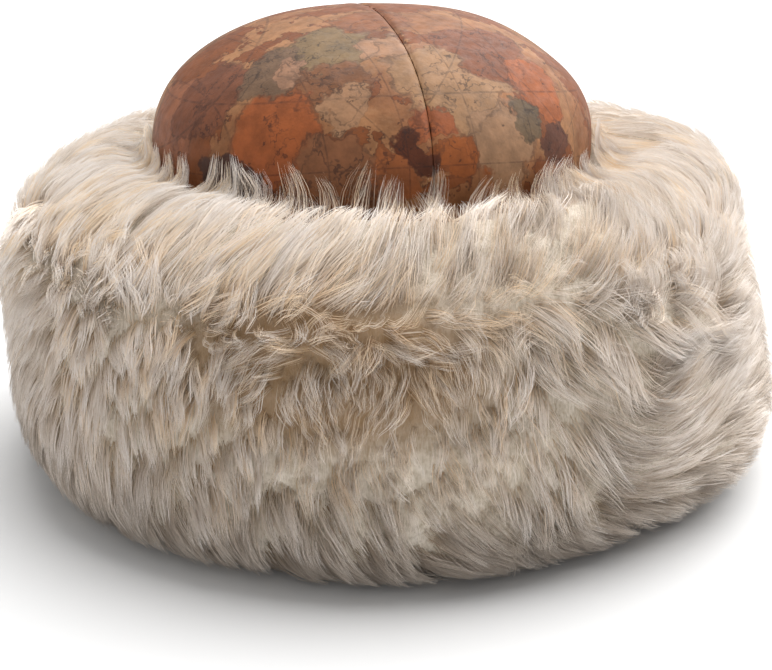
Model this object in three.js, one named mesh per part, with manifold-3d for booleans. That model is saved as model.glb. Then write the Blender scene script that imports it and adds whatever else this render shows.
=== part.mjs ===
// A fur hat in the manner of a telpek: a soft leather crown of two panels that rises out of a
// deep cuff of sheepskin. The head goes in from below and the hat rests on the cuff's foot.
// Millimetres, +Z up, the front of the hat towards -Y and the wearer's left towards +X, with the
// origin on the surface that the hat rests on.
import * as THREE from 'three'
import { mergeVertices } from 'three/addons/utils/BufferGeometryUtils.js'
import Module from 'manifold-3d'

// Driving dimensions
const headWidth = 174 // inside the band, from side to side
const headLength = 190 // inside the band, from front to back
const bandHeight = 114 // the sheepskin's own leather, from the foot up to the crown's sewn edge
const bandWall = 2.4
const crownWall = 1.8
const crownSwell = 6 // the crown stands out this much past the inside of the band
const crownFull = 20 // height over the band at which the crown is fullest
const crownRise = 76 // from the band's top edge up to the crown's highest point
const crownPower = 2.25 // 2 is a round dome, more is a squarer one
const crownLean = 5 // the soft top sags this far to the wearer's left
const furWidth = 331 // over the pile, from side to side
const furHeight = 134
const footWidth = 272 // the part of the pile that is pressed flat by the hat's weight
const furShift = 4.5 // the pile is this much deeper on the flank that bulges
const flankAngle = 76 // degrees from the front round to that flank
const crestTilt = 4 // the pile's crest is this much higher over that flank than on the average
const gap = 0.3 // kept between pieces that touch
const turns = 60 // steps round the hat

// Where the combed pile stands out or is pressed in: degrees round from the front towards +X,
// height, how far out, and how wide (degrees) and tall the swelling is.
const swellings = [
  { round: 64, height: 16, out: 10, wide: 42, tall: 24 },
  { round: 98, height: 124, out: 5, wide: 48, tall: 18 },
  { round: 76, height: 90, out: -5, wide: 40, tall: 24 },
  { round: -112, height: 112, out: 5, wide: 50, tall: 20 },
  { round: -99, height: 48, out: -6, wide: 45, tall: 26 },
  { round: -36, height: 8, out: 3, wide: 26, tall: 16 },
  { round: 27, height: 10, out: -5, wide: 20, tall: 16 },
]

// Where the soft crown has sunk a little: place, how deep and how wide.
const dents = [
  { place: [-66, -18, 172], deep: 2.6, wide: 30 },
  { place: [64, -14, 172], deep: 2.6, wide: 26 },
  { place: [20, 48, 184], deep: 2, wide: 34 },
]

const bandInner = headWidth / 2
const bandOuter = bandInner + bandWall
const crownRadius = bandInner + crownSwell
const lengthen = (headLength - headWidth) / 2
const furOuter = furWidth / 2
const footOuter = footWidth / 2

const leather = new THREE.MeshStandardMaterial({ color: 0x9c6f4e, roughness: 0.5, metalness: 0 })
const hide = new THREE.MeshStandardMaterial({ color: 0xd9c7a8, roughness: 0.95, metalness: 0 })
const pile = new THREE.MeshStandardMaterial({ color: 0xe6d8c2, roughness: 1, metalness: 0 })

function ease(low, high, value) {
  const t = Math.min(Math.max((value - low) / (high - low), 0), 1)
  return t * t * (3 - 2 * t)
}

// Angle round the hat, 0 at the front and growing towards +X.
function angleRound(x, y) {
  return Math.atan2(x, -y)
}

// Spins a profile of [radius, height] points round Z, and moves each vertex by a shaping function.
function spin(profile, shape) {
  const points = profile.map(([radius, height]) => new THREE.Vector2(radius, height))
  const lathe = new THREE.LatheGeometry(points, turns, Math.PI / turns)
  lathe.rotateX(Math.PI / 2)
  lathe.deleteAttribute('normal')
  lathe.deleteAttribute('uv')
  const place = lathe.getAttribute('position')
  for (let i = 0; i < place.count; i += 1) {
    const [x, y, z] = shape(place.getX(i), place.getY(i), place.getZ(i))
    place.setXYZ(i, x, y, z)
  }
  return facingOut(mergeVertices(lathe, 1e-3))
}

function volumeOf(geometry) {
  const place = geometry.getAttribute('position')
  const index = geometry.getIndex()
  const [a, b, c] = [new THREE.Vector3(), new THREE.Vector3(), new THREE.Vector3()]
  let volume = 0
  for (let i = 0; i < index.count; i += 3) {
    a.fromBufferAttribute(place, index.getX(i))
    b.fromBufferAttribute(place, index.getX(i + 1))
    c.fromBufferAttribute(place, index.getX(i + 2))
    volume += a.dot(b.cross(c)) / 6
  }
  return volume
}

// Drops the faces that merging has flattened to nothing, and turns the rest outwards.
function facingOut(geometry) {
  const inside = volumeOf(geometry) < 0
  const old = geometry.getIndex()
  const kept = []
  for (let i = 0; i < old.count; i += 3) {
    const [a, b, c] = [old.getX(i), old.getX(i + 1), old.getX(i + 2)]
    if (a !== b && b !== c && c !== a) {
      kept.push(...(inside ? [a, c, b] : [a, b, c]))
    }
  }
  geometry.setIndex(kept)
  return geometry
}

// Makes a round plan into the head's oval. Every piece uses it, so that the gaps between them hold.
function oval(x, y, z) {
  const radius = Math.hypot(x, y)
  return [x, y * (1 + lengthen / Math.max(radius, crownRadius)), z]
}

// The soft crown's top leans a little to one side, more the higher it is, and sinks at its dents.
function crownShape(x, y, z) {
  const up = Math.max((z - bandHeight - crownFull) / (crownRise - crownFull), 0)
  const [ovalX, ovalY, ovalZ] = oval(x, y, z)
  const place = new THREE.Vector3(ovalX + crownLean * up * up, ovalY, ovalZ)
  const inward = new THREE.Vector3(0, 0, bandHeight).sub(place).normalize()
  for (const dent of dents) {
    const away = place.distanceTo(new THREE.Vector3(...dent.place)) / dent.wide
    place.addScaledVector(inward, dent.deep * Math.exp(-away * away))
  }
  return place.toArray()
}

// Half of the dome's outline, from the sewn edge up to the middle of the top.
function domeLine(radius, base, top) {
  const full = bandHeight + crownFull
  const neck = radius - crownSwell + crownWall
  const line = []
  for (let i = 0; i <= 3; i += 1) {
    const t = i / 3
    line.push([neck + (radius - neck) * Math.sin((t * Math.PI) / 2), base + (full - base) * t])
  }
  const steps = 10
  for (let i = 1; i <= steps; i += 1) {
    const angle = (i / steps) * (Math.PI / 2)
    const across = i === steps ? 0 : Math.cos(angle) ** (2 / crownPower)
    line.push([radius * across, full + (top - full) * Math.sin(angle) ** (2 / crownPower)])
  }
  return line
}

function crownShell() {
  const base = bandHeight + gap
  const top = bandHeight + crownRise
  const outside = domeLine(crownRadius, base, top)
  const inside = domeLine(crownRadius - crownWall, base, top - crownWall)
  return spin([...inside.reverse(), ...outside], crownShape)
}

// The sheepskin's skin side is the wall that the head meets.
function bandShell() {
  const section = [
    [bandInner, 0],
    [bandOuter, 0],
    [bandOuter, bandHeight / 2],
    [bandOuter, bandHeight],
    [bandInner, bandHeight],
    [bandInner, bandHeight / 2],
    [bandInner, 0],
  ]
  return spin(section, oval)
}

// How far the pile stands out of its even section here. The inside and the foot stay as they are.
function pilePush(round, height) {
  let push = furShift * Math.cos(round - THREE.MathUtils.degToRad(flankAngle))
  push += 1.1 * Math.sin(3 * round + 0.9) + 0.9 * Math.sin(7 * round + 2.1 + height / 40)
  for (const swelling of swellings) {
    const away = THREE.MathUtils.euclideanModulo(
      THREE.MathUtils.radToDeg(round) - swelling.round + 180,
      360,
    ) - 180
    const across = away / swelling.wide
    const up = (height - swelling.height) / swelling.tall
    push += swelling.out * Math.exp(-across * across - up * up)
  }
  return push
}

function pileShape(x, y, z) {
  const radius = Math.hypot(x, y)
  const round = angleRound(x, y)
  const free = ease(crownRadius + 15, crownRadius + 40, radius)
  const scale = (radius + free * pilePush(round, z)) / radius
  const tilt = crestTilt * Math.cos(round - THREE.MathUtils.degToRad(flankAngle + 22))
  const lift = free * ease(95, furHeight, z) * (tilt + 1.6 * Math.sin(5 * round + 0.4))
  return oval(x * scale, y * scale, z + lift)
}

// The pile's even section, from the inner foot round the outside to the crown.
function pileRing() {
  const inner = bandOuter + gap
  const crest = crownRadius + 30
  const section = [
    [inner, 0],
    [(inner + footOuter) / 2, 0],
    [footOuter, 0],
    [footOuter + 15, 5],
    [furOuter - 5, 19],
    [furOuter, 38],
    [furOuter, 58],
    [furOuter - 2.5, 79],
    [furOuter - 7, 98],
    [furOuter - 15, 114],
    [furOuter - 26, 126],
    [crest, furHeight - 1],
    [crest - 12, furHeight - 1.5],
    [crownRadius + 9, 127],
    [inner + 1.2, bandHeight],
    [inner, bandHeight - 4],
    [inner, bandHeight / 2],
    [inner, 0],
  ]
  return spin(section, pileShape)
}

function toSolid(wasm, geometry) {
  const vertProperties = new Float32Array(geometry.getAttribute('position').array)
  const triVerts = new Uint32Array(geometry.getIndex().array)
  return new wasm.Manifold(new wasm.Mesh({ numProp: 3, vertProperties, triVerts }))
}

function toGeometry(solid) {
  const mesh = solid.getMesh()
  const geometry = new THREE.BufferGeometry()
  geometry.setAttribute('position', new THREE.BufferAttribute(new Float32Array(mesh.vertProperties), 3))
  geometry.setIndex(new THREE.BufferAttribute(new Uint32Array(mesh.triVerts), 1))
  return geometry
}

// A block that takes in all of the crown on one side of the seam, which runs from front to back.
function sideBlock(wasm, side) {
  const size = 400
  const block = new THREE.BoxGeometry(size, size, size)
  block.translate((side * (size + gap)) / 2, 0, size / 2)
  block.deleteAttribute('normal')
  block.deleteAttribute('uv')
  return toSolid(wasm, mergeVertices(block))
}

const wasm = await Module()
wasm.setup()

const hat = new THREE.Group()

function add(name, geometry, material) {
  const mesh = new THREE.Mesh(geometry, material)
  mesh.name = name
  hat.add(mesh)
}

const crown = toSolid(wasm, crownShell())
add('crown_left', toGeometry(crown.intersect(sideBlock(wasm, 1))), leather)
add('crown_right', toGeometry(crown.intersect(sideBlock(wasm, -1))), leather)
add('skin_band', bandShell(), hide)
add('fur_cuff', pileRing(), pile)

// The pile is deeper on one flank, so the hat is set with the middle of its outline on the axis.
const middle = new THREE.Box3().setFromObject(hat).getCenter(new THREE.Vector3())
hat.position.set(-middle.x, -middle.y, 0)

export default hat
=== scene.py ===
# A fur hat in the manner of a telpek: a domed crown of printed leather in a deep sheepskin cuff.
import math

import bmesh
import bpy
import numpy as np
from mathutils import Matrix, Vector
from mathutils.bvhtree import BVHTree


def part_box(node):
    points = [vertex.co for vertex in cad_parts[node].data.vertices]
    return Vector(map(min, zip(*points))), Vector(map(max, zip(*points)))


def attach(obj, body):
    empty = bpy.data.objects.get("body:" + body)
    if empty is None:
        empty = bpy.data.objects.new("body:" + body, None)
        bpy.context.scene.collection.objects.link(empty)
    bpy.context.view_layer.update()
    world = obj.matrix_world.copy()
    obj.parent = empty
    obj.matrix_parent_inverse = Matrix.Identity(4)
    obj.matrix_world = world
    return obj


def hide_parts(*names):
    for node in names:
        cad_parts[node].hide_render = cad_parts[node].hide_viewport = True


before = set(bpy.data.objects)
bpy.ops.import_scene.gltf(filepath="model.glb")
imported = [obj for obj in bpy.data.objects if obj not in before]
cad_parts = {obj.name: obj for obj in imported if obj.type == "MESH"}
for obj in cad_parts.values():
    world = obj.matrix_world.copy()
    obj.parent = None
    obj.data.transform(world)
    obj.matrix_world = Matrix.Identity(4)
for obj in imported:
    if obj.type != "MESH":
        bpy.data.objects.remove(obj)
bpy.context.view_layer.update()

mm = 0.001
turn = 2 * math.pi


# ---------- the hat's main measures, from the frame

bandLow, bandHigh = (np.array(corner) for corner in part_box("skin_band"))
axis = (bandLow + bandHigh) / 2  # the middle of the head's opening
bandTop = bandHigh[2]
lengthen = (bandHigh[1] - bandLow[1] - bandHigh[0] + bandLow[0]) / 2  # added at front and back


def smoothStep(low, high, value):
    t = np.clip((value - low) / (high - low), 0, 1)
    return t * t * (3 - 2 * t)


def unit(vectors):
    return vectors / np.maximum(np.linalg.norm(vectors, axis=-1, keepdims=True), 1e-12)


def paint(code):
    # a colour written as on a swatch, such as "c8a07d", in the scene's linear values
    parts = np.array([int(code[i:i + 2], 16) for i in (0, 2, 4)]) / 255
    return tuple(float(x) for x in np.where(parts < 0.04045, parts / 12.92, ((parts + 0.055) / 1.055) ** 2.4))


def heading(round):
    # the way out of the hat at an angle round it, 0 at the front and growing towards +X
    return np.stack([np.sin(round), -np.cos(round), np.zeros_like(round)], -1)


# ---------- node trees written as expressions

class Wire:
    # a socket that adds the nodes of whatever is worked out with it
    def __init__(self, board, socket):
        self.board, self.socket = board, socket

    def isVector(self):
        return self.socket.type in ("VECTOR", "RGBA")

    def math(self, operation, other=None, swapped=False):
        pair = (other, self) if swapped else (self, other)
        vectors = [x.isVector() if isinstance(x, Wire) else isinstance(x, (tuple, Vector)) for x in pair]
        if operation == "MULTIPLY" and sum(vectors) == 1:
            vector, scale = pair if vectors[0] else pair[::-1]
            values = {0: vector, "Scale": scale}
            return self.board.node("ShaderNodeVectorMath", {"operation": "SCALE"}, values)
        kind = "ShaderNodeVectorMath" if any(vectors) else "ShaderNodeMath"
        values = {i: x for i, x in enumerate(pair) if x is not None}
        return self.board.node(kind, {"operation": operation}, values)

    def __add__(self, other):
        return self.math("ADD", other)

    def __radd__(self, other):
        return self.math("ADD", other, True)

    def __sub__(self, other):
        return self.math("SUBTRACT", other)

    def __rsub__(self, other):
        return self.math("SUBTRACT", other, True)

    def __mul__(self, other):
        return self.math("MULTIPLY", other)

    def __rmul__(self, other):
        return self.math("MULTIPLY", other, True)

    def __pow__(self, other):
        return self.math("POWER", other)


class Board:
    # a node tree being wired
    def __init__(self, tree):
        self.tree = tree

    def node(self, kind, settings=None, values=None, output=0):
        made = self.tree.nodes.new(kind)
        for name, value in (settings or {}).items():
            if name == "stops":
                self.setStops(made.color_ramp, value)
            elif name == "capture":
                for kindOf, label in value:
                    made.capture_items.new(kindOf, label)
            else:
                setattr(made, name, value)
        for key, value in (values or {}).items():
            if isinstance(value, Wire):
                self.tree.links.new(value.socket, made.inputs[key])
            elif made.inputs[key].type == "RGBA" and len(value) == 3:
                made.inputs[key].default_value = (*value, 1)
            else:
                made.inputs[key].default_value = value
        return Wire(self, made.outputs[output]) if len(made.outputs) else None

    def also(self, wire, output):
        # another output of the node that a wire comes from
        return Wire(self, wire.socket.node.outputs[output])

    def setStops(self, ramp, stops):
        while len(ramp.elements) > 1:
            ramp.elements.remove(ramp.elements[-1])
        for i, (place, colour) in enumerate(stops):
            element = ramp.elements[0] if i == 0 else ramp.elements.new(place)
            element.position = place
            element.color = (*colour, 1)

    def ramp(self, factor, stops):
        return self.node("ShaderNodeValToRGB", {"stops": stops}, {0: factor})

    def blend(self, factor, first, second):
        return self.node("ShaderNodeMix", {"data_type": "RGBA"}, {0: factor, 6: first, 7: second}, 2)

    def noise(self, place, size, detail=2.0, rough=0.5, output=0):
        values = {"Vector": place, "Scale": 1 / size, "Detail": detail, "Roughness": rough}
        return self.node("ShaderNodeTexNoise", {}, values, output)

    def larger(self, first, second):
        return self.node("ShaderNodeMath", {"operation": "MAXIMUM"}, {0: first, 1: second})

    def size(self, value):
        return self.node("ShaderNodeMath", {"operation": "ABSOLUTE"}, {0: value})

    def span(self, value, low, high, first=0.0, second=1.0, kind="SMOOTHSTEP"):
        values = {0: value, 1: low, 2: high, 3: first, 4: second}
        return self.node("ShaderNodeMapRange", {"interpolation_type": kind}, values)

    def length(self, vector):
        return self.node("ShaderNodeVectorMath", {"operation": "LENGTH"}, {0: vector}, 1)

    def unit(self, vector):
        return self.node("ShaderNodeVectorMath", {"operation": "NORMALIZE"}, {0: vector})

    def cross(self, first, second):
        return self.node("ShaderNodeVectorMath", {"operation": "CROSS_PRODUCT"}, {0: first, 1: second})

    def parts(self, vector):
        x = self.node("ShaderNodeSeparateXYZ", {}, {0: vector})
        return x, self.also(x, 1), self.also(x, 2)


def newMaterial(name, viewColour):
    material = bpy.data.materials.new(name)
    material.use_nodes = True
    material.diffuse_color = (*viewColour, 1)
    tree = material.node_tree
    tree.nodes.clear()
    return material, Board(tree)


def finishMaterial(board, shader):
    board.node("ShaderNodeOutputMaterial", {}, {"Surface": shader})


def newObject(name, vertices, faces, material):
    mesh = bpy.data.meshes.new(name)
    mesh.from_pydata([tuple(v) for v in vertices], [], [tuple(f) for f in faces])
    made = bpy.data.objects.new(name, mesh)
    bpy.context.collection.objects.link(made)
    mesh.materials.append(material)
    mesh.shade_smooth()
    return made


def gridFaces(rows, columns, closed):
    # quads between the points of a grid whose columns may close on themselves
    last = columns if closed else columns - 1
    i, j = np.meshgrid(np.arange(rows - 1), np.arange(last), indexing="ij")
    right = (j + 1) % columns
    quads = [i * columns + j, i * columns + right, (i + 1) * columns + right, (i + 1) * columns + j]
    return np.stack(quads, -1).reshape(-1, 4)


# ---------- the pile's outer surface, as a grid that the locks are rooted on

surface = {
    "around": 288,  # steps round the hat
    "rows": 128,  # steps from the foot's inner edge, out and over, to the crown
    "over": 22,  # more rows, which climb the crown's side
    "clear": 0.9 * mm,  # kept over the crown's leather
    "middle": 62 * mm,  # height from which a section of the pile is measured
    "section": (-118, 109, 110),  # the first angle of a section, its last, and how many points
    "crownSection": (5 * mm, 45 * mm, 20),  # the same for heights over the pile, on the crown
    "smoothing": 6,
}


def meshTree(*names):
    points, faces = [], []
    for name in names:
        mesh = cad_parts[name].data
        start = len(points)
        points += [v.co.copy() for v in mesh.vertices]
        faces += [[start + i for i in p.vertices] for p in mesh.polygons]
    return BVHTree.FromPolygons(points, faces)


def castFrom(tree, origin, direction, reach=1.0):
    hit = tree.ray_cast(Vector(origin), Vector(direction), reach)[0]
    return None if hit is None else np.array(hit)


def sectionLine(pile, crown, out):
    # one section of the pile in [distance from the axis, height], and on up the crown
    centre = np.array([axis[0], axis[1], surface["middle"]])
    inner = np.linalg.norm((castFrom(pile, centre, out) - centre)[:2])
    outer = np.linalg.norm((castFrom(pile, centre + out * 0.4, -out) - centre)[:2])
    middle = centre + out * (inner + outer) / 2
    line = []
    for angle in np.radians(np.linspace(*surface["section"])):
        hit = castFrom(pile, middle, out * math.cos(angle) + np.array([0, 0, math.sin(angle)]))
        line.append([np.dot(hit - centre, out), hit[2]])
    edge = line[-1][1]
    low, high, count = surface["crownSection"]
    for height in np.linspace(edge + low, edge + high, count):
        start = np.array([axis[0], axis[1], height]) + out * 0.3
        hit = castFrom(crown, start, -out)
        line.append([np.dot(hit - centre, out) + surface["clear"], height])
    return np.array(line)


def evenly(line, rows, over):
    # the line again, at even steps whose size lets the pile take the given rows
    steps = np.r_[0, np.cumsum(np.linalg.norm(np.diff(line, axis=0), axis=1))]
    step = steps[surface["section"][2] - 1] / (rows - 1)
    at = np.arange(rows + over) * step
    return np.stack([np.interp(at, steps, line[:, k]) for k in (0, 1)], -1)


def smoothed(grid, passes):
    # an average over neighbours, closed round the hat and held at the first and last rows
    for _ in range(passes):
        grid = (np.roll(grid, 1, 1) + 2 * grid + np.roll(grid, -1, 1)) / 4
        inner = (grid[:-2] + 2 * grid[1:-1] + grid[2:]) / 4
        grid = np.concatenate([grid[:1], inner, grid[-1:]])
    return grid


def makeSurface():
    pile, crown = meshTree("fur_cuff"), meshTree("crown_left", "crown_right")
    rounds = (np.arange(surface["around"]) + 0.5) / surface["around"] * turn - math.pi
    outs = heading(rounds)
    rows = surface["rows"] + surface["over"]
    grid = np.zeros((rows, len(rounds), 3))
    for k, out in enumerate(outs):
        line = evenly(sectionLine(pile, crown, out), surface["rows"], surface["over"])
        grid[:, k] = np.array([axis[0], axis[1], 0]) + line[:, :1] * out + line[:, 1:] * (0, 0, 1)
    grid = smoothed(grid, surface["smoothing"])
    across = (np.roll(grid, -1, 1) - np.roll(grid, 1, 1)) / 2
    along = np.gradient(grid, axis=0)
    normal = unit(np.cross(across, along))
    return {"place": grid, "across": across, "along": along, "normal": normal}


skin = makeSurface()
print("pile surface", skin["place"].shape)


def onSkin(name, round, row):
    # a field of the grid at any place on it
    grid = skin[name]
    u = (np.asarray(round) + math.pi) / turn * grid.shape[1] - 0.5
    w = np.clip(row, 0, grid.shape[0] - 1.001)
    i, j = np.floor(u).astype(int), np.floor(w).astype(int)
    fu, fw = (u - i)[..., None], (w - j)[..., None]
    i, i2 = i % grid.shape[1], (i + 1) % grid.shape[1]
    low = grid[j, i] * (1 - fu) + grid[j, i2] * fu
    high = grid[j + 1, i] * (1 - fu) + grid[j + 1, i2] * fu
    return low * (1 - fw) + high * fw


# ---------- how the pile is combed

comb = {
    "parting": 0.70,  # share of the way up the pile at which it parts, towards the crown and down
    "partingWide": 0.05,
    "drift": 22,  # degrees by which the downward locks lean to the right
    "lean": 8,  # degrees, the same for the locks that run to the crown
    "wander": 16,  # degrees of slow change from place to place
    "pressed": 0.16,  # share that is pressed flat under the hat
}

# Places combed one by one: degrees round from the front towards +X, share of the way up, reach in
# degrees, reach in share, and then the way the locks run (0 to the crown, 90 to the right, 180
# down), how steeply they stand, their length and their curl.
combed = [
    (-58, 0.69, 9, 0.05, 112, 28, 34, 0.5),
    (-72, 0.60, 10, 0.09, 184, 28, 32, 0.8),
    (-50, 0.60, 10, 0.07, 160, 28, 34, 0.8),
    (-44, 0.48, 14, 0.10, 152, 20, 38, 0.6),
    (-30, 0.62, 16, 0.07, 165, 38, 22, 1.4),
    (-12, 0.64, 12, 0.07, 185, 40, 20, 1.5),
    (-20, 0.52, 14, 0.07, 160, 37, 22, 1.3),
    (-4, 0.53, 9, 0.08, 195, 36, 22, 1.4),
    (-20, 0.38, 16, 0.08, 140, 22, 36, 0.6),
    (-8, 0.28, 18, 0.07, 112, 16, 42, 0.3),
    (4, 0.44, 8, 0.09, 168, 26, 34, 0.8),
    (2, 0.60, 6, 0.08, 190, 35, 24, 1.2),
    (9, 0.66, 7, 0.06, 175, 24, 36, 0.6),
    (12, 0.52, 7, 0.07, 140, 18, 40, 0.4),
    (20, 0.44, 8, 0.07, 95, 16, 42, 0.3),
    (27, 0.54, 6, 0.08, 30, 14, 42, 0.3),
    (30, 0.44, 8, 0.07, 62, 16, 42, 0.3),
    (20, 0.64, 8, 0.06, 168, 18, 42, 0.3),
    (44, 0.52, 12, 0.10, 66, 18, 44, 0.3),
    (42, 0.68, 12, 0.05, 98, 18, 44, 0.3),
    (40, 0.36, 14, 0.07, 84, 18, 44, 0.3),
    (30, 0.26, 16, 0.06, 108, 18, 40, 0.3),
    (50, 0.24, 12, 0.06, 122, 22, 36, 0.4),
    (12, 0.96, 16, 0.07, 22, 15, 54, 0.5),
    (-17, 0.93, 8, 0.09, 12, 15, 24, 0.3),
    (-48, 0.95, 16, 0.07, 25, 14, 50, 0.5),
    (-70, 0.84, 26, 0.10, 48, 17, 46, 0.3),
    (-32, 0.84, 14, 0.08, 34, 17, 46, 0.3),
    (-7, 0.67, 7, 0.04, 132, 32, 38, 0.7),
]


def combAt(round, row):
    # the way, steepness, length and curl of the locks at places on the pile
    share = row / (surface["rows"] - 1)
    up = smoothStep(comb["parting"] - comb["partingWide"], comb["parting"] + comb["partingWide"], share)
    pressed = 1 - smoothStep(comb["pressed"] - 0.04, comb["pressed"] + 0.05, share)
    slow = np.sin(2 * round + 1.3) + np.sin(3 * round + 9 * share + 0.4) + np.sin(5 * round - 7 * share)
    slow = slow * comb["wander"] / 2
    down = np.radians(180 - comb["drift"] + slow)
    over = np.radians(comb["lean"] + slow / 2)
    way = np.stack([np.sin(down), np.cos(down)], -1) * ((1 - up) * (1 - pressed))[..., None]
    way = way + np.stack([np.sin(over), np.cos(over)], -1) * (up + pressed)[..., None]
    nearParting = np.exp(-((share - comb["parting"]) / 0.055) ** 2)
    lift = 22 + 20 * nearParting - 4 * up - 12 * pressed
    length = 40 - 12 * pressed
    curl = 0.75 - 0.45 * up + 0.4 * nearParting
    total = np.ones_like(share)
    way = unit(way)
    sums = [way * total[..., None], lift * total, length * total, curl * total]
    for at, high, wide, tall, toward, steep, long, curly in combed:
        away = (np.degrees(round) - at + 180) % 360 - 180
        weight = 6 * np.exp(-((away / wide) ** 2) - ((share - high) / tall) ** 2)
        toward = math.radians(toward)
        sums[0] = sums[0] + weight[..., None] * np.array([math.sin(toward), math.cos(toward)])
        sums[1] = sums[1] + weight * steep
        sums[2] = sums[2] + weight * long
        sums[3] = sums[3] + weight * curly
        total = total + weight
    return unit(sums[0]), sums[1] / total, sums[2] / total * mm, sums[3] / total


# ---------- locks and wisps

locks = {
    "spacing": 6.4 * mm,  # between the roots of neighbouring locks
    "fill": 1.08,  # share of the usual cover that is made up wherever the locks part
    "lyingKept": 0.36,  # share of the locks that is grown where the pile lies flat
    "wide": 6 * mm,  # how far from a lock's middle its wisps are rooted
    "wisps": 6,  # in each lock
    "hairs": 9,  # in each wisp
    "fewer": 3,  # this many less behind and at the flanks, and again under the foot
    "points": 5,  # along each hair
    "gather": 0.58,  # how far a curly lock's wisps draw together at their tips
    "inTress": 7,  # locks that run together in a broad tress
    "tressGather": 0.28,
    "gatherLying": 0.4,  # the same for a smooth one
    "rimGather": 0.8,  # and for one that stands against the crown
    "stray": 10,  # degrees by which a lock leaves the combed way
    "crestStray": 5,  # times as much again at the parting
    "fray": 12,  # and a wisp its lock's
    "woolDepth": 6.5 * mm,  # under the pile's outer form
    "proud": 3 * mm,  # how far the tips stand out of it
    "hairWide": 0.39 * mm,
    "hairSpread": 2.8 * mm,
    "hairGather": 0.5,
    "seed": 11,
}


def woolDepth(share):
    # the under-wool is thin under the foot and where the pile meets the crown
    deep = smoothStep(0.12, 0.26, share) * (1 - 0.75 * smoothStep(0.86, 1.0, share))
    return 2.5 * mm + (locks["woolDepth"] - 2.5 * mm) * deep


def rootPlaces(rng):
    # a jittered grid of roots, as even as its spacing allows
    rounds, rows, turns = [], [], []
    step = np.linalg.norm(skin["along"][: surface["rows"]], axis=-1).mean()
    every = locks["spacing"] / step
    row = 1.5
    while row < surface["rows"] - 1:
        ring = np.linalg.norm(skin["across"][int(row)], axis=-1).sum()
        count = int(ring / locks["spacing"] + 0.5)
        around = (np.arange(count) + rng.uniform(0, 1)) / count + rng.uniform(-0.42, 0.42, count) / count
        rounds.append(around * turn - math.pi)
        rows.append(row + rng.uniform(-0.42, 0.42, count) * every)
        turns.append((np.arange(count) * 0.618 + len(rows) * 0.371) % 1)
        row += every
    round, row, order = np.concatenate(rounds), np.concatenate(rows), np.concatenate(turns)
    row = np.clip(row, 0.5, surface["rows"] - 1)
    _, lift, _, _ = combAt(round, row)
    share = row / (surface["rows"] - 1)
    needed = np.maximum(smoothStep(26, 48, lift), np.exp(-((share - comb["parting"]) / 0.09) ** 2))
    kept = order < locks["lyingKept"] + (1 - locks["lyingKept"]) * needed
    return round[kept], row[kept]


def grow(round, row, turnBy, longer, phase, steps):
    # walks each hair from its root in the under-wool out to its tip, along the combed way
    round, row = round.copy(), row.copy()
    way, lift, length, curl = combAt(round, row)
    share = row / (surface["rows"] - 1)
    length = length * longer
    depth = woolDepth(share) + 1.0 * mm
    steep = np.radians(lift)
    bends = 1.5 - 1.0 * np.linspace(0, 1, steps)[:, None]  # steep at the root, lying down at the tip
    climb = np.sin(steep * bends[:-1]).mean(0)
    proud = locks["proud"] * (0.3 + 0.7 * smoothStep(0.2, 0.45, share))
    length = np.minimum(length, (depth + proud * longer) / climb)
    high = -depth
    places, normals, tracks = [], [], []
    turned = np.radians(turnBy)
    for k in range(steps):
        place, normal = onSkin("place", round, row), onSkin("normal", round, row)
        sideways = onSkin("across", round, row)
        wave = np.sin(phase + k / (steps - 1) * 6.0) * curl * mm * 1.2 * k / (steps - 1)
        places.append(place + normal * high[:, None] + unit(sideways) * wave[:, None])
        normals.append(normal)
        tracks.append(np.stack([round, row], -1))
        angle = steep * bends[k]
        move = length / (steps - 1) * np.cos(angle)
        newWay, _, _, _ = combAt(round, row)
        way = unit(way * 0.5 + newWay * 0.5)
        east = way[:, 0] * np.cos(turned) + way[:, 1] * np.sin(turned)
        north = -way[:, 0] * np.sin(turned) + way[:, 1] * np.cos(turned)
        round += move * east / np.linalg.norm(sideways, axis=-1) * turn / surface["around"]
        row += move * north / np.linalg.norm(onSkin("along", round, row), axis=-1)
        high = high + length / (steps - 1) * np.sin(angle)
    return np.stack(places, 1), np.stack(normals, 1), np.stack(tracks, 1)


def fillBare(rng, round, row):
    # more roots wherever the combed locks leave the under-wool bare
    still = np.zeros(len(round))
    _, _, tracks = grow(round, row, still, still + 1, still, locks["points"])
    columns, lines = 72, surface["rows"] // 4
    i = np.floor((tracks[..., 0] + math.pi) / turn * columns).astype(int) % columns
    j = np.clip(tracks[..., 1] / 4, 0, lines - 1).astype(int)
    hits = np.zeros((lines, columns))
    np.add.at(hits, (j, i), 1)
    around = np.linalg.norm(skin["across"], axis=-1)[2:surface["rows"]:4].sum(1)[:, None] / columns
    area = around * np.linalg.norm(skin["along"], axis=-1)[2:surface["rows"]:4].mean(1)[:, None] * 4
    hits = (np.roll(hits, 1, 1) + 2 * hits + np.roll(hits, -1, 1)) / 4
    usual = np.median((hits / area)[5:])
    missing = np.clip(locks["fill"] * usual - hits / area, 0, None) * area / locks["points"]
    missing[:5] = 0
    extra = np.floor(missing + rng.uniform(0, 1, missing.shape)).astype(int)
    at, along = np.repeat(np.arange(lines), extra.sum(1)), []
    for line in range(lines):
        along.append(np.repeat(np.arange(columns), extra[line]))
    along = np.concatenate(along) + rng.uniform(0, 1, extra.sum())
    newRow = np.clip((at + rng.uniform(0, 1, extra.sum())) * 4, 0.5, surface["rows"] - 1)
    print("locks", len(round), "and", extra.sum(), "where it was bare")
    return np.r_[round, along / columns * turn - math.pi], np.r_[row, newRow]


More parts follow.
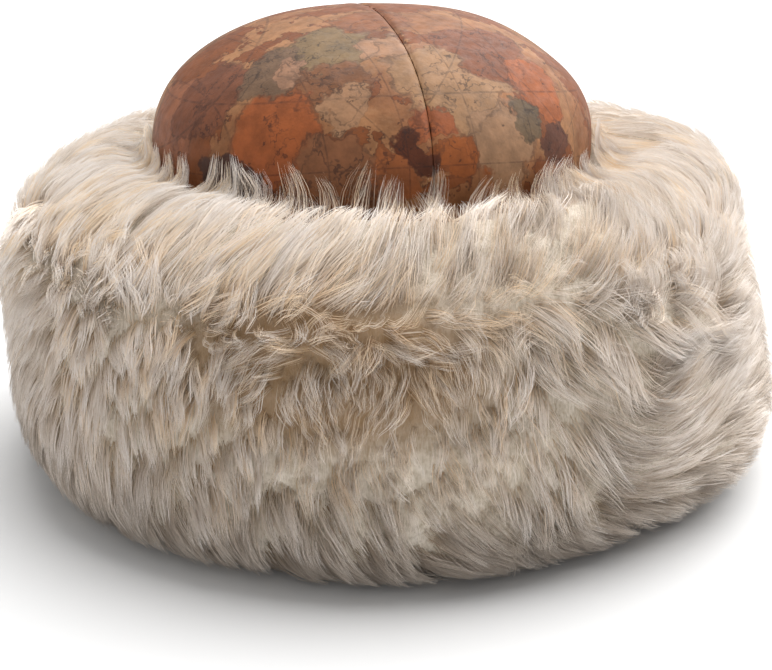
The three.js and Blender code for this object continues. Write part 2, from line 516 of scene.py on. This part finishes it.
# How much paler (or greyer, below 0) a wisp is, in steps of its usual variation.
tones = {
    "lock": 0.6,
    "wisp": 0.8,
    "paintedLightOverTufts": 1.6,  # painted light: the pale band above the front's tufts, where the top of the pile takes the light
    "tufts": 1.1,
    "low": -4.2,  # painted shade: greyer on the pile's lower part
    "shadeSparedRight": 0.75,  # share of that painted shade which the right, on the light's side, is spared
    "behind": -1.6,
    "rim": 1.5,  # painted light: paler against the crown, at the top of the pile
}


def makeWisps():
    rng = np.random.default_rng(locks["seed"])
    round, row = fillBare(rng, *rootPlaces(rng))
    count, each, steps = len(round), locks["wisps"], locks["points"]
    crest = np.exp(-((row / (surface["rows"] - 1) - comb["parting"]) / 0.04) ** 2)
    turnBy = rng.normal(0, locks["stray"], count) * (1 + locks["crestStray"] * crest)
    rim = smoothStep(0.86, 0.96, row / (surface["rows"] - 1))
    turnBy = turnBy * (1 + 1.3 * rim)
    longer = rng.uniform(0.78, 1.18, count)
    longer = longer + (longer - 1) * 1.1 * rim
    phase = rng.uniform(0, turn, count)
    place = onSkin("place", round, row)
    heads = rng.choice(count, int(count / locks["inTress"]), replace=False)
    tress = np.linalg.norm(place[:, None] - place[None, heads], axis=-1).argmin(1)
    turnBy = 0.6 * turnBy + 0.8 * turnBy[heads][tress]
    phase = 0.4 * phase + 0.6 * phase[heads][tress]
    middle, _, _ = grow(round, row, turnBy, longer, phase, steps)
    pull = (middle[heads][tress] - middle) * locks["tressGather"]
    middle = middle + pull * np.linspace(0, 1, steps)[None, :, None] ** 1.5
    radius = locks["wide"] * np.sqrt(rng.uniform(0, 1, (count, each)))
    angle = rng.uniform(0, turn, (count, each))
    across = np.linalg.norm(onSkin("across", round, row), axis=-1)[:, None]
    along = np.linalg.norm(onSkin("along", round, row), axis=-1)[:, None]
    wispRound = round[:, None] + radius * np.cos(angle) / across * turn / surface["around"]
    wispRow = np.clip(row[:, None] + radius * np.sin(angle) / along, 0.2, surface["rows"] + 1)
    wispTurn = turnBy[:, None] + rng.normal(0, locks["fray"], (count, each))
    wispLonger = longer[:, None] * rng.uniform(0.8, 1.12, (count, each))
    wispPhase = phase[:, None] + rng.normal(0, 0.6, (count, each))
    flat = [x.reshape(-1) for x in (wispRound, wispRow, wispTurn, wispLonger, wispPhase)]
    places, normals, _ = grow(*flat, steps)
    _, _, _, curl = combAt(flat[0], flat[1])
    t = np.linspace(0, 1, steps)[None, :, None]
    gather = locks["gatherLying"] + (locks["gather"] - locks["gatherLying"]) * smoothStep(0.3, 1.1, curl)
    gather = gather + (locks["rimGather"] - gather) * np.repeat(rim, each)
    target = np.repeat(middle, each, 0)
    places = places + (target - places) * gather[:, None, None] * t ** 1.3
    places[..., 2] = np.maximum(places[..., 2], 0.8 * mm)
    lockTone = np.repeat(rng.normal(0, 1, count), each)
    tone = tones["lock"] * lockTone + tones["wisp"] * rng.normal(0, 1, count * each)
    up = flat[1] / (surface["rows"] - 1)
    ahead = np.clip(np.cos(flat[0] + math.radians(20)), 0, 1)
    # painted light on the band above the front's tufts
    tone = tone + tones["paintedLightOverTufts"] * ahead * np.exp(-((up - 0.77) / 0.07) ** 2)
    tone = tone + tones["tufts"] * smoothStep(0.6, 1.2, curl)
    # painted shade on the pile's lower part, spared on the right where the light falls
    rightward = smoothStep(0.2, 0.9, np.sin(flat[0] + math.radians(14)))
    tone = tone + tones["low"] * (1 - tones["shadeSparedRight"] * rightward) * (1 - smoothStep(0.25, 0.5, up))
    tone = tone + tones["behind"] * (1 - ahead) * (1 - smoothStep(0.6, 0.75, up))
    # painted light on the pile's top, against the crown
    tone = tone + tones["rim"] * np.repeat(rim, each)
    # The hairs on top, and a little on the lower part, start further along their colour from root to tip; on
    # top this is painted light.
    start = 0.42 * smoothStep(0.62, 0.8, up) + 0.12 * (1 - smoothStep(0.3, 0.45, up))
    start = np.maximum(start, 0.3 * (1 - smoothStep(0.3, 0.7, curl)))
    return {
        "places": places, "normals": normals, "tone": tone, "start": start,
        "tuft": smoothStep(0.6, 1.2, curl), "round": flat[0], "row": flat[1],
    }


wisps = makeWisps()
print("wisps", len(wisps["tone"]))


# ---------- hairs, grown on the wisps by Geometry Nodes

def hairTree(material):
    tree = bpy.data.node_groups.new("hairs", "GeometryNodeTree")
    board = Board(tree)
    for name, kind in (
        ("Geometry", "NodeSocketGeometry"),
        ("Hairs", "NodeSocketInt"),
        ("Spread", "NodeSocketFloat"),
        ("Gather", "NodeSocketFloat"),
        ("Width", "NodeSocketFloat"),
        ("Seed", "NodeSocketInt"),
    ):
        tree.interface.new_socket(name=name, in_out="INPUT", socket_type=kind)
    tree.interface.new_socket(name="Geometry", in_out="OUTPUT", socket_type="NodeSocketGeometry")
    given = board.node("NodeGroupInput")
    hairsEach, spread, gather, width, seed = (board.also(given, i) for i in range(1, 6))
    curves = board.node("GeometryNodeMeshToCurve", {}, {0: given})
    copied = board.node("GeometryNodeDuplicateElements", {"domain": "SPLINE"}, {0: curves, 2: hairsEach})
    index = board.node("GeometryNodeInputIndex")
    push = board.node("FunctionNodeRandomValue", {"data_type": "FLOAT_VECTOR"},
                      {0: (-1, -1, -1), 1: (1, 1, 1), 7: index, 8: seed})
    shorter = board.node("FunctionNodeRandomValue", {"data_type": "FLOAT"},
                         {2: 0.72, 3: 1.0, 7: index, 8: seed + 5}, 1)
    carried = {"domain": "CURVE", "capture": [("VECTOR", "push"), ("FLOAT", "shorter")]}
    kept = board.node("GeometryNodeCaptureAttribute", carried, {0: copied, 1: push, 2: shorter})
    push, shorter = board.also(kept, 1), board.also(kept, 2)
    along = board.node("GeometryNodeSplineParameter")
    normal = board.node("GeometryNodeInputNamedAttribute", {"data_type": "FLOAT_VECTOR"}, {0: "skinNormal"})
    tangent = board.node("GeometryNodeInputTangent")
    side = board.unit(board.cross(normal, tangent))
    pushSide, pushUp, pushAlong = board.parts(push)
    tuft = board.node("GeometryNodeInputNamedAttribute", {"data_type": "FLOAT"}, {0: "tuft"})
    reach = spread * (1 - gather * along) * (1 - 0.4 * tuft)
    offset = side * (pushSide * reach) + normal * (pushUp * reach * 0.6) + tangent * (pushAlong * reach * 0.8)
    moved = board.node("GeometryNodeSetPosition", {}, {0: kept, 3: offset})
    cut = board.node("GeometryNodeTrimCurve", {}, {0: moved, 3: shorter})
    thin = width * (1 - 0.86 * along ** 1.6)
    facing = board.unit(normal + side * (pushUp * 0.45))
    turned = board.node("GeometryNodeSetCurveNormal", {"mode": "FREE"}, {0: cut, 2: facing})
    tone = board.node("GeometryNodeInputNamedAttribute", {"data_type": "FLOAT"}, {0: "tone"})
    start = board.node("GeometryNodeInputNamedAttribute", {"data_type": "FLOAT"}, {0: "start"})
    carried = {"domain": "POINT", "capture": [("FLOAT", "along"), ("FLOAT", "tone"), ("FLOAT", "thin")]}
    drawn = board.node("GeometryNodeCaptureAttribute", carried,
                       {0: turned, 1: start + (1 - start) * along, 2: tone + pushAlong * 0.06, 3: thin})
    profile = board.node("GeometryNodeCurvePrimitiveLine", {}, {0: (-0.5, 0, 0), 1: (0.5, 0, 0)})
    edge = board.node("GeometryNodeCaptureAttribute", {"domain": "POINT", "capture": [("FLOAT", "edge")]},
                      {0: profile, 1: board.node("GeometryNodeSplineParameter")})
    ribbons = board.node("GeometryNodeCurveToMesh", {}, {0: drawn, 1: edge, 2: board.also(drawn, 3)})
    # the map's first direction is the hair's tone and its second runs from root to tip
    toneOut = board.also(drawn, 2) + (board.also(edge, 1) - 0.5) * 0.012
    place = board.node("ShaderNodeCombineXYZ", {}, {0: toneOut, 1: board.also(drawn, 1) * 0.98 + 0.01})
    mapped = board.node("GeometryNodeStoreNamedAttribute", {"data_type": "FLOAT2", "domain": "CORNER"},
                        {0: ribbons, 2: "OFBake", 3: place})
    real = board.node("GeometryNodeRealizeInstances", {}, {0: mapped})
    dressed = board.node("GeometryNodeSetMaterial", {}, {0: real, 2: material})
    board.node("NodeGroupOutput", {}, {0: dressed})
    return tree


def wispMesh(name, chosen):
    places, normals = wisps["places"][chosen], wisps["normals"][chosen]
    count, steps = places.shape[:2]
    starts = (np.arange(count) * steps)[:, None] + np.arange(steps - 1)[None]
    edges = np.stack([starts, starts + 1], -1).reshape(-1, 2)
    mesh = bpy.data.meshes.new(name)
    mesh.vertices.add(count * steps)
    mesh.vertices.foreach_set("co", places.reshape(-1).astype(np.float32))
    mesh.edges.add(len(edges))
    mesh.edges.foreach_set("vertices", edges.reshape(-1).astype(np.int32))
    mesh.attributes.new("skinNormal", "FLOAT_VECTOR", "POINT")
    mesh.attributes["skinNormal"].data.foreach_set("vector", normals.reshape(-1).astype(np.float32))
    mesh.attributes.new("tone", "FLOAT", "POINT")
    tone = np.repeat(np.clip(0.54 + 0.13 * wisps["tone"][chosen], 0.08, 0.92), steps)
    mesh.attributes["tone"].data.foreach_set("value", tone.astype(np.float32))
    for label in ("start", "tuft"):
        mesh.attributes.new(label, "FLOAT", "POINT")
        values = np.repeat(wisps[label][chosen], steps)
        mesh.attributes[label].data.foreach_set("value", values.astype(np.float32))
    made = bpy.data.objects.new(name, mesh)
    bpy.context.collection.objects.link(made)
    return made


def growHairs(name, chosen, tree, inputs):
    guide = wispMesh(name + "Guide", chosen)
    modifier = guide.modifiers.new("hairs", "NODES")
    modifier.node_group = tree
    sockets = {s.name: s.identifier for s in tree.interface.items_tree if s.in_out == "INPUT"}
    for key, value in inputs.items():
        modifier[sockets[key]] = value
    graph = bpy.context.evaluated_depsgraph_get()
    mesh = bpy.data.meshes.new_from_object(guide.evaluated_get(graph))
    bpy.data.objects.remove(guide)
    points = np.empty(len(mesh.vertices) * 3, np.float32)
    mesh.vertices.foreach_get("co", points)
    points[2::3] = np.maximum(points[2::3], 0.2 * mm)
    mesh.vertices.foreach_set("co", points)
    mesh.update()
    made = bpy.data.objects.new(name, mesh)
    mesh.name = name
    mesh.shade_smooth()
    bpy.context.collection.objects.link(made)
    return made


# ---------- the fur's materials

# The hairs darken from tip to root: painted shade, deepest in the pile.
fur = {
    "root": paint("9f7c4c"),  # painted shade: the ochre that shows deep between tufts, at the hairs' roots
    "low": paint("dccdb9"),
    "body": paint("ede4dc"),
    "tip": paint("faf6f3"),
    "wool": paint("dcd2c4"),
    "woolDark": paint("ab9d88"),
    "grey": paint("aea59b"),
    "warm": paint("fdeed6"),
    "gap": paint("8a693f"),  # painted shade: the deep ochre between the short tufts at the front
    "gapShadePlace": (-62 * mm, -150 * mm, 86 * mm),
    "gapShadeReach": (80 * mm, 70 * mm, 34 * mm),
}


def hairMaterial():
    material, board = newMaterial("furHair", fur["body"])
    place = board.node("ShaderNodeUVMap", {"uv_map": "OFBake"})
    tone, along, _ = board.parts(place)
    white = (1, 1, 1)
    # painted shade towards each hair's root, deep in the pile, over the hair's own colour
    colourAndRootShade = board.ramp(along, [(0.0, fur["root"]), (0.22, fur["low"]), (0.5, fur["body"]), (1.0, fur["tip"])])
    # the wisp's tone: random variation, with painted light on the pile's top and painted shade on its lower
    # part
    shade = board.ramp(tone, [(0.0, fur["grey"]), (0.4, paint("f0ebe4")), (0.62, white), (0.9, fur["warm"])])
    colour = board.node("ShaderNodeMix", {"data_type": "RGBA", "blend_type": "MULTIPLY"},
                        {0: 1.0, 6: colourAndRootShade, 7: shade}, 2)
    shader = board.node("ShaderNodeBsdfPrincipled", {}, {
        "Base Color": colour, "Roughness": 0.7, "Specular IOR Level": 0.12, "Sheen Weight": 0.2,
    })
    finishMaterial(board, shader)
    return material


def woolMaterial():
    material, board = newMaterial("furUnderwool", fur["wool"])
    place = board.node("ShaderNodeTexCoord", output=3)
    clumps = board.noise(place, 5 * mm, 3, 0.6)
    fine = board.noise(place * Vector((1, 1, 0.16)), 0.7 * mm, 3, 0.65)
    colour = board.ramp(clumps * 0.5 + fine * 0.5, [(0.36, fur["woolDark"]), (0.6, fur["wool"])])
    # painted shade: the under-wool turns deep ochre between the short tufts at the front
    fromGapShade = board.length((place - fur["gapShadePlace"]) * Vector([1 / reach for reach in fur["gapShadeReach"]]))
    colour = board.blend(board.span(fromGapShade, 0.5, 1.1, 0.8, 0), colour, fur["gap"])
    height = clumps * 0.6 + fine
    bump = board.node("ShaderNodeBump", {}, {"Strength": 0.8, "Distance": 1.2 * mm, "Height": height})
    values = {"Base Color": colour, "Roughness": 0.9, "Normal": bump}
    shader = board.node("ShaderNodeBsdfPrincipled", {}, values)
    finishMaterial(board, shader)
    return material


# ---------- the under-wool

def makeWool():
    rows = surface["rows"]
    place, normal = skin["place"][:rows:2, ::2], skin["normal"][:rows:2, ::2]
    share = (np.arange(0, rows, 2) / (rows - 1))[:, None]
    around = place.shape[1]
    rng = np.random.default_rng(5)
    lumps = smoothed(rng.normal(0, 1, place.shape[:2] + (1,)), 2) * 3.2 * mm
    depth = woolDepth(share)[..., None]
    points = place - normal * depth + normal * lumps * (depth / locks["woolDepth"])
    points[..., 2] = np.maximum(points[..., 2], 0.4 * mm)
    centre = np.array([axis[0], axis[1], 0])
    inner = np.array([centre + (points[0, k] - centre) * (1, 1, 0) for k in range(around)])
    high = inner + np.array([0, 0, 1]) * (bandTop - 6 * mm)
    low = inner + np.array([0, 0, 1]) * 0.5 * mm
    wall = np.stack([high * (1 - t) + low * t for t in np.linspace(0, 1, 8)])
    grid = np.concatenate([points, wall])
    faces = gridFaces(len(grid), around, True)
    lastRow = (len(grid) - 1) * around
    ring = np.arange(around)
    closing = np.stack([lastRow + ring, lastRow + (ring + 1) % around, (ring + 1) % around, ring], -1)
    return newObject("furWool", grid.reshape(-1, 3), np.concatenate([faces, closing]), woolMaterial())


wool = makeWool()
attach(wool, "root")
print("under-wool", len(wool.data.polygons))

hair = hairMaterial()
tree = hairTree(hair)
share = wisps["row"] / (surface["rows"] - 1)
round = wisps["round"]
frontward, sideward = np.cos(round + math.radians(14)), np.sin(round + math.radians(14))
over, under = share > 0.72, share <= 0.14
side = ~over & ~under
front, flank = side & (frontward > 0.5), side & (abs(frontward) <= 0.5)
regions = {
    "furTopFront": over & (frontward > 0),
    "furTopBack": over & (frontward <= 0),
    "furFrontLeft": front & (sideward > 0),
    "furFrontRight": front & (sideward <= 0),
    "furBack": side & (frontward < -0.5),
    "furLeftFlank": flank & (np.sin(round) > 0),
    "furRightFlank": flank & (np.sin(round) <= 0),
    "furUnder": under,
}
for name, chosen in regions.items():
    sparser = int(frontward[chosen].mean() < 0.2) + int(name == "furUnder")
    piece = growHairs(name, chosen, tree, {
        "Hairs": locks["hairs"] - locks["fewer"] * sparser,
        "Spread": locks["hairSpread"],
        "Gather": locks["hairGather"],
        "Width": locks["hairWide"],
        "Seed": 3,
    })
    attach(piece, "root")
    print(name, len(piece.data.polygons) * 2)
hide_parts("fur_cuff")


# ---------- the crown's two panels of printed leather

crown = {
    "radius": 93 * mm,
    "neck": 88.8 * mm,  # at the sewn edge, under the fur
    "low": 114.3 * mm,
    "full": 134 * mm,
    "top": 190 * mm,
    "power": 2.25,
    "lean": 5 * mm,
    "wall": 1.8 * mm,
    "gap": 0.3 * mm,
    "rows": 60,
    "around": 208,
    "seamCrowd": 0.34,  # how much closer the columns stand at the seam
    "rollDepth": 0.7 * mm,  # how far the leather turns in at the seam
    "rollWide": 1.1 * mm,
}

# Soft dents: place from the middle of the head's opening, depth and reach, in millimetres.
crownDents = [
    ((-66, -18, 172), 2.6, 30),
    ((64, -14, 172), 2.6, 26),
    ((20, 48, 184), 2.0, 34),
    ((-24, -84, 158), 0.9, 16),
    ((40, -72, 166), 0.8, 15),
    ((-6, -40, 190), 0.8, 22),
]


def crownLine():
    # half the dome's outline in [radius, height], at even steps
    rise = np.linspace(0, 1, 12)
    swell = crown["neck"] + (crown["radius"] - crown["neck"]) * np.sin(rise * math.pi / 2)
    side = np.stack([swell, crown["low"] + (crown["full"] - crown["low"]) * rise], -1)
    angle = np.linspace(0, math.pi / 2, 240)[1:]
    out = crown["radius"] * np.clip(np.cos(angle), 0, 1) ** (2 / crown["power"])
    up = crown["full"] + (crown["top"] - crown["full"]) * np.sin(angle) ** (2 / crown["power"])
    line = np.concatenate([side, np.stack([out, up], -1)])
    steps = np.r_[0, np.cumsum(np.linalg.norm(np.diff(line, axis=0), axis=1))]
    at = np.linspace(0, steps[-1], crown["rows"])
    return np.stack([np.interp(at, steps, line[:, k]) for k in (0, 1)], -1)


def crownGrid():
    t = np.arange(crown["around"]) / crown["around"] * turn
    round = t - crown["seamCrowd"] * np.sin(2 * t)
    line = crownLine()[:-1]
    radius, height = line[:, 0][:, None], line[:, 1][:, None]
    up = np.clip((height - crown["full"]) / (crown["top"] - crown["full"]), 0, 1)
    x = radius * np.sin(round) + crown["lean"] * up ** 2
    y = -radius * np.cos(round) * (1 + lengthen / crown["radius"])
    grid = np.stack([x, y, np.broadcast_to(height, x.shape)], -1)
    across = np.roll(grid, -1, 1) - np.roll(grid, 1, 1)
    normal = unit(np.cross(across, np.gradient(grid, axis=0)))
    free = smoothStep(crown["low"], crown["low"] + 12 * mm, grid[..., 2])
    push = np.zeros(x.shape)
    for place, depth, reach in crownDents:
        away = np.linalg.norm(grid - np.array(place) * mm, axis=-1) / (reach * mm)
        push -= depth * mm * np.exp(-away ** 2)
    push += 0.5 * mm * np.sin(5 * round + grid[..., 2] / (11 * mm)) * (1 - up)
    puckers = np.sin(34 * round + 3 * np.sin(5 * round)) * (1 - smoothStep(118 * mm, 142 * mm, grid[..., 2]))
    push += 0.45 * mm * puckers
    seam = np.abs(grid[..., 0])
    push -= crown["rollDepth"] * np.exp(-(seam / crown["rollWide"]) ** 2)
    push += 0.15 * mm * np.exp(-((seam - 3.4 * mm) / (2 * mm)) ** 2)
    return grid + normal * (push * free)[..., None]


def crownPanel(name, side, material, insideMaterial):
    # cuts the whole dome at the seam and gives one side of it its thickness
    grid = crownGrid() + axis * (1, 1, 0)
    rows, around = grid.shape[:2]
    top = grid[-1].mean(0) + np.array([0, 0, 0.05 * mm])
    whole = bmesh.new()
    made = [whole.verts.new(p) for p in grid.reshape(-1, 3)] + [whole.verts.new(top)]
    for face in gridFaces(rows, around, True):
        whole.faces.new([made[i] for i in face])
    for k in range(around):
        first = (rows - 1) * around
        whole.faces.new([made[first + k], made[first + (k + 1) % around], made[-1]])
    parts = whole.verts[:] + whole.edges[:] + whole.faces[:]
    place = Vector((axis[0] + side * crown["gap"] / 2, 0, 0))
    cut = {"plane_co": place, "plane_no": (side, 0, 0), "clear_inner": True, "dist": 1e-6}
    bmesh.ops.bisect_plane(whole, geom=parts, **cut)
    bmesh.ops.remove_doubles(whole, verts=whole.verts[:], dist=1e-5)
    bmesh.ops.recalc_face_normals(whole, faces=whole.faces[:])
    whole.normal_update()
    whole.verts.index_update()
    outer = np.array([v.co for v in whole.verts])
    normals = np.array([v.normal for v in whole.verts])
    count = len(outer)
    inner = outer - normals * crown["wall"]
    limit = axis[0] + side * crown["gap"] / 2
    inner[:, 0] = np.maximum(inner[:, 0], limit) if side > 0 else np.minimum(inner[:, 0], limit)
    inner[:, 2] = np.maximum(inner[:, 2], crown["low"])
    faces = [[v.index for v in face.verts] for face in whole.faces]
    rims = []
    for edge in whole.edges:
        if len(edge.link_loops) == 1:
            loop = edge.link_loops[0]
            a, b = loop.vert.index, loop.link_loop_next.vert.index
            rims.append([b, a, a + count, b + count])
    whole.free()
    backs = [[i + count for i in reversed(face)] for face in faces]
    panel = newObject(name, np.concatenate([outer, inner]), faces + rims + backs, material)
    panel.data.materials.append(insideMaterial)
    index = np.zeros(len(panel.data.polygons), int)
    index[len(faces) + len(rims):] = 1
    panel.data.polygons.foreach_set("material_index", index)
    return panel


# The print, in the manner of an old sea chart without any lettering. Each tint has its place from
# the middle of the head's opening and its reach, in millimetres, and a colour.
chart = {
    "sea": paint("a46c45"),
    "pale": paint("b98358"),
    "land": paint("93542d"),
    "ink": paint("2e2020"),
    "depth": 0.85,  # the tints below are printed this much darker
    "line": 0.3 * mm,
    "coast": 0.62,  # strength of the ink along the coasts
    "ruled": 0.42,  # and of the ruled lines
    "roughness": 0.58,
}
chartTints = [
    ((-90, -20, 145), 30, "b4704c"),
    ((-75, -36, 162), 24, "93583b"),
    ((-28, -48, 182), 24, "9c7d57"),
    ((-52, -50, 172), 18, "8f6d52"),
    ((-44, -56, 175), 10, "bd8c6c"),
    ((-31, -72, 170), 17, "9a6440"),
    ((-55, -76, 153), 22, "bb6636"),
    ((-36, -92, 140), 20, "a06845"),
    ((-70, -66, 135), 16, "5f3d30"),
    ((-10, -57, 182), 12, "c4926e"),
    ((-28, -80, 163), 11, "c08f69"),
    ((12, -78, 172), 26, "c09168"),
    ((28, -92, 150), 18, "bb8e6a"),
    ((32, -56, 179), 22, "9a5a38"),
    ((50, -68, 166), 17, "c26c3a"),
    ((42, -82, 156), 9, "80664a"),
    ((55, -80, 146), 12, "7a4a36"),
    ((-6, -26, 188), 18, "a9683f"),
    ((2, -91, 161), 8, "b5663c"),
    ((12, -98, 146), 13, "b1622f"),
    ((-14, -98, 139), 11, "b3683a"),
    ((-5, -97, 151), 9, "6c3820"),
    ((75, 0, 165), 30, "a8703f"),
    ((-60, 40, 168), 32, "a9744e"),
    ((40, 60, 172), 30, "8f5a3c"),
    ((0, 92, 150), 26, "bb6636"),
    ((-80, 30, 140), 20, "8d7658"),
    ((60, 66, 145), 18, "6c4a35"),
]


def leatherMaterial():
    material, board = newMaterial("printedLeather", chart["sea"])
    place = board.node("ShaderNodeTexCoord", output=3) - tuple(axis * (1, 1, 0))
    drift = board.noise(place, 16 * mm, 4, 0.6, 1) - (0.5, 0.5, 0.5)
    ragged = board.noise(place, 5 * mm, 3, 0.7, 1) - (0.5, 0.5, 0.5)
    moved = place + drift * (30 * mm) + ragged * (4.5 * mm)
    colour = board.blend(board.span(board.noise(moved, 30 * mm, 2), 0.42, 0.6), chart["sea"], chart["pale"])
    land = board.noise(moved + (0.3, 0.1, 0.7), 26 * mm, 3, 0.55)
    colour = board.blend(board.span(land, 0.52, 0.53, kind="LINEAR"), colour, chart["land"])
    coast = board.span(board.size(land - 0.525), 0.004, 0.012, 1, 0)
    for centre, reach, code in chartTints:
        away = board.length(moved - tuple(np.array(centre) * mm)) * (1 / (reach * mm))
        shade = tuple(x * chart["depth"] for x in paint(code))
        colour = board.blend(board.span(away, 0.95, 0.75), colour, shade)
        coast = board.larger(coast, board.span(board.size(away - 0.85), 0.012, 0.05, 0.7, 0))
    x, y, z = board.parts(place)
    ink = coast * chart["coast"]
    ruled = [
        (x + y * 0.18, 27 * mm),
        (z + x * x * 1.5, 24 * mm),
        (x * 0.8 + z * 0.6 + y * 0.2, 61 * mm),
        (x * 0.7 - z * 0.7 - y * 0.1, 53 * mm),
    ]
    for value, spacing in ruled:
        near = board.node("ShaderNodeMath", {"operation": "PINGPONG"}, {0: value, 1: spacing / 2})
        line = board.span(near, chart["line"] * 0.5, chart["line"] * 1.5, chart["ruled"], 0)
        ink = board.larger(ink, line)
    worn = board.noise(place, 4 * mm, 4, 0.65)
    ink = ink * board.span(worn, 0.35, 0.6, 0.35, 1.0)
    colour = board.blend(ink, colour, chart["ink"])
    mottled = board.span(board.noise(place, 9 * mm, 5, 0.7), 0.3, 0.7, 0.42, 0.66)
    colour = colour * mottled
    values = {"Vector": place, "Scale": 1 / (1.1 * mm)}
    grain = board.node("ShaderNodeTexVoronoi", {"feature": "SMOOTH_F1"}, values)
    creases = board.noise(place, 7 * mm, 4, 0.6)
    height = grain * 0.35 + creases * 1.0
    bump = board.node("ShaderNodeBump", {}, {"Strength": 0.55, "Distance": 0.35 * mm, "Height": height})
    shader = board.node("ShaderNodeBsdfPrincipled", {}, {
        "Base Color": colour,
        "Roughness": board.span(worn, 0.3, 0.7, chart["roughness"] - 0.05, chart["roughness"] + 0.1),
        "Specular IOR Level": 0.2,
        "Normal": bump,
    })
    finishMaterial(board, shader)
    return material


def suedeMaterial(name, code, size=1.4 * mm):
    material, board = newMaterial(name, paint(code))
    place = board.node("ShaderNodeTexCoord", output=3)
    clouds = board.noise(place, 22 * mm, 4, 0.6)
    nap = board.noise(place, size, 3, 0.65)
    shade = board.span(clouds * 0.6 + nap * 0.4, 0.3, 0.7, 0.78, 1.08)
    colour = board.node("ShaderNodeRGB")
    colour.socket.default_value = (*paint(code), 1)
    bump = board.node("ShaderNodeBump", {}, {"Strength": 0.5, "Distance": 0.25 * mm, "Height": nap})
    shader = board.node("ShaderNodeBsdfPrincipled", {}, {
        "Base Color": colour * shade, "Roughness": 0.92, "Sheen Weight": 0.15, "Normal": bump,
    })
    finishMaterial(board, shader)
    return material


leather, leatherBack = leatherMaterial(), suedeMaterial("leatherBack", "a98363")
for name, side, node in (("crownLeft", 1, "crown_left"), ("crownRight", -1, "crown_right")):
    panel = crownPanel(name, side, leather, leatherBack)
    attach(panel, "root")
    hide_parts(node)
    print(name, len(panel.data.polygons))


# ---------- the sheepskin's own leather, which the head meets

band = {
    "around": 240,
    "thick": 2.4 * mm,
    "inner": 87 * mm,
    "round": 0.9 * mm,  # of its edges
    "wavy": 0.35 * mm,
}


def makeBand():
    half, top, bend = band["thick"] / 2, bandTop, band["round"]
    corner = np.linspace(0, math.pi / 2, 4)
    section = []
    for out, up, start in ((1, 1, 0), (-1, 1, 1), (-1, -1, 2), (1, -1, 3)):
        middle = (out * (half - bend), top - bend if up > 0 else bend)
        for angle in corner + start * math.pi / 2:
            section.append([middle[0] + bend * math.cos(angle), middle[1] + bend * math.sin(angle)])
        if start in (0, 2):
            continue
        ends = (top - bend, bend) if start == 1 else (bend, top - bend)
        for height in np.linspace(*ends, 14)[1:-1]:
            section.append([out * half, height])
    section = np.array(section)
    round = np.arange(band["around"]) / band["around"] * turn
    wave = np.sin(3 * round + 1) * np.sin(section[:, 1] / top * math.pi)[:, None] * band["wavy"] / 2
    radius = band["inner"] + half + section[:, :1] + wave * 0.5
    x = radius * np.sin(round) + axis[0]
    y = -radius * np.cos(round) * (1 + lengthen / crown["radius"]) + axis[1]
    grid = np.stack([x, y, np.broadcast_to(section[:, 1:], x.shape)], -1)
    faces = gridFaces(len(grid), band["around"], True)
    ring = np.arange(band["around"])
    last = (len(grid) - 1) * band["around"]
    beside = (ring + 1) % band["around"]
    closing = np.stack([last + ring, last + beside, beside, ring], -1)
    hide = suedeMaterial("sheepskinHide", "dcc9a8")
    return newObject("skinBand", grid.reshape(-1, 3), np.concatenate([faces, closing]), hide)


bandPiece = makeBand()
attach(bandPiece, "root")
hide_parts("skin_band")
print("skinBand", len(bandPiece.data.polygons))


# ---------- camera, light and floor

view = {
    "azimuth": -14,  # degrees round from the front
    "elevation": 18.9,
    "distance": 0.72,
    "lens": 75.3,  # millimetres
    "aimSide": -1.4 * mm,
    "aimHeight": 45 * mm,
}
light = {
    "strength": 5.5,
    "spread": 80,  # degrees that the soft light covers
    "toward": (0.55, 0.35, 1),  # where it comes from
    "around": 0.72,  # strength of the light from all sides
    "seenAs": 0.28,  # and how much brighter the backdrop looks than it lights
    "floor": (0.66, 0.66, 0.66),
}


def makeCamera():
    data = bpy.data.cameras.new("camera")
    data.lens = view["lens"]
    data.clip_start = 0.01
    made = bpy.data.objects.new("camera", data)
    bpy.context.collection.objects.link(made)
    azimuth, elevation = math.radians(view["azimuth"]), math.radians(view["elevation"])
    level = math.cos(elevation)
    forward = Vector((-math.sin(azimuth) * level, math.cos(azimuth) * level, -math.sin(elevation)))
    aside = Vector((math.cos(azimuth), math.sin(azimuth), 0))
    aim = aside * view["aimSide"] + Vector((0, 0, view["aimHeight"]))
    made.location = aim - forward * view["distance"]
    made.rotation_euler = forward.to_track_quat("-Z", "Y").to_euler()
    bpy.context.scene.camera = made


def makeLight():
    # one very broad soft light from overhead
    data = bpy.data.lights.new("overhead", "SUN")
    data.energy = light["strength"]
    data.angle = math.radians(light["spread"])
    made = bpy.data.objects.new("overhead", data)
    made.location = Vector(light["toward"])
    made.rotation_euler = Vector(light["toward"]).to_track_quat("Z", "Y").to_euler()
    bpy.context.collection.objects.link(made)


def makeStage():
    material, board = newMaterial("floor", (0.9, 0.9, 0.9))
    shader = board.node("ShaderNodeBsdfPrincipled", {}, {"Base Color": light["floor"], "Roughness": 0.8})
    finishMaterial(board, shader)
    size = 6
    corners = [(-size, -size, 0), (size, -size, 0), (size, size, 0), (-size, size, 0)]
    floor = newObject("floor", corners, [(0, 1, 2, 3)], material)
    world = bpy.data.worlds.new("world")
    bpy.context.scene.world = world
    world.use_nodes = True
    sky = Board(world.node_tree)
    background = world.node_tree.nodes["Background"]
    background.inputs["Color"].default_value = (1, 1, 1, 1)
    # brighter to the camera than as a light, so that the floor runs on into it
    seen = sky.node("ShaderNodeLightPath")
    strength = seen * light["seenAs"] + light["around"]
    world.node_tree.links.new(strength.socket, background.inputs["Strength"])


makeCamera()
makeLight()
makeStage()
bpy.context.scene.view_settings.view_transform = "Standard"
print("stage")
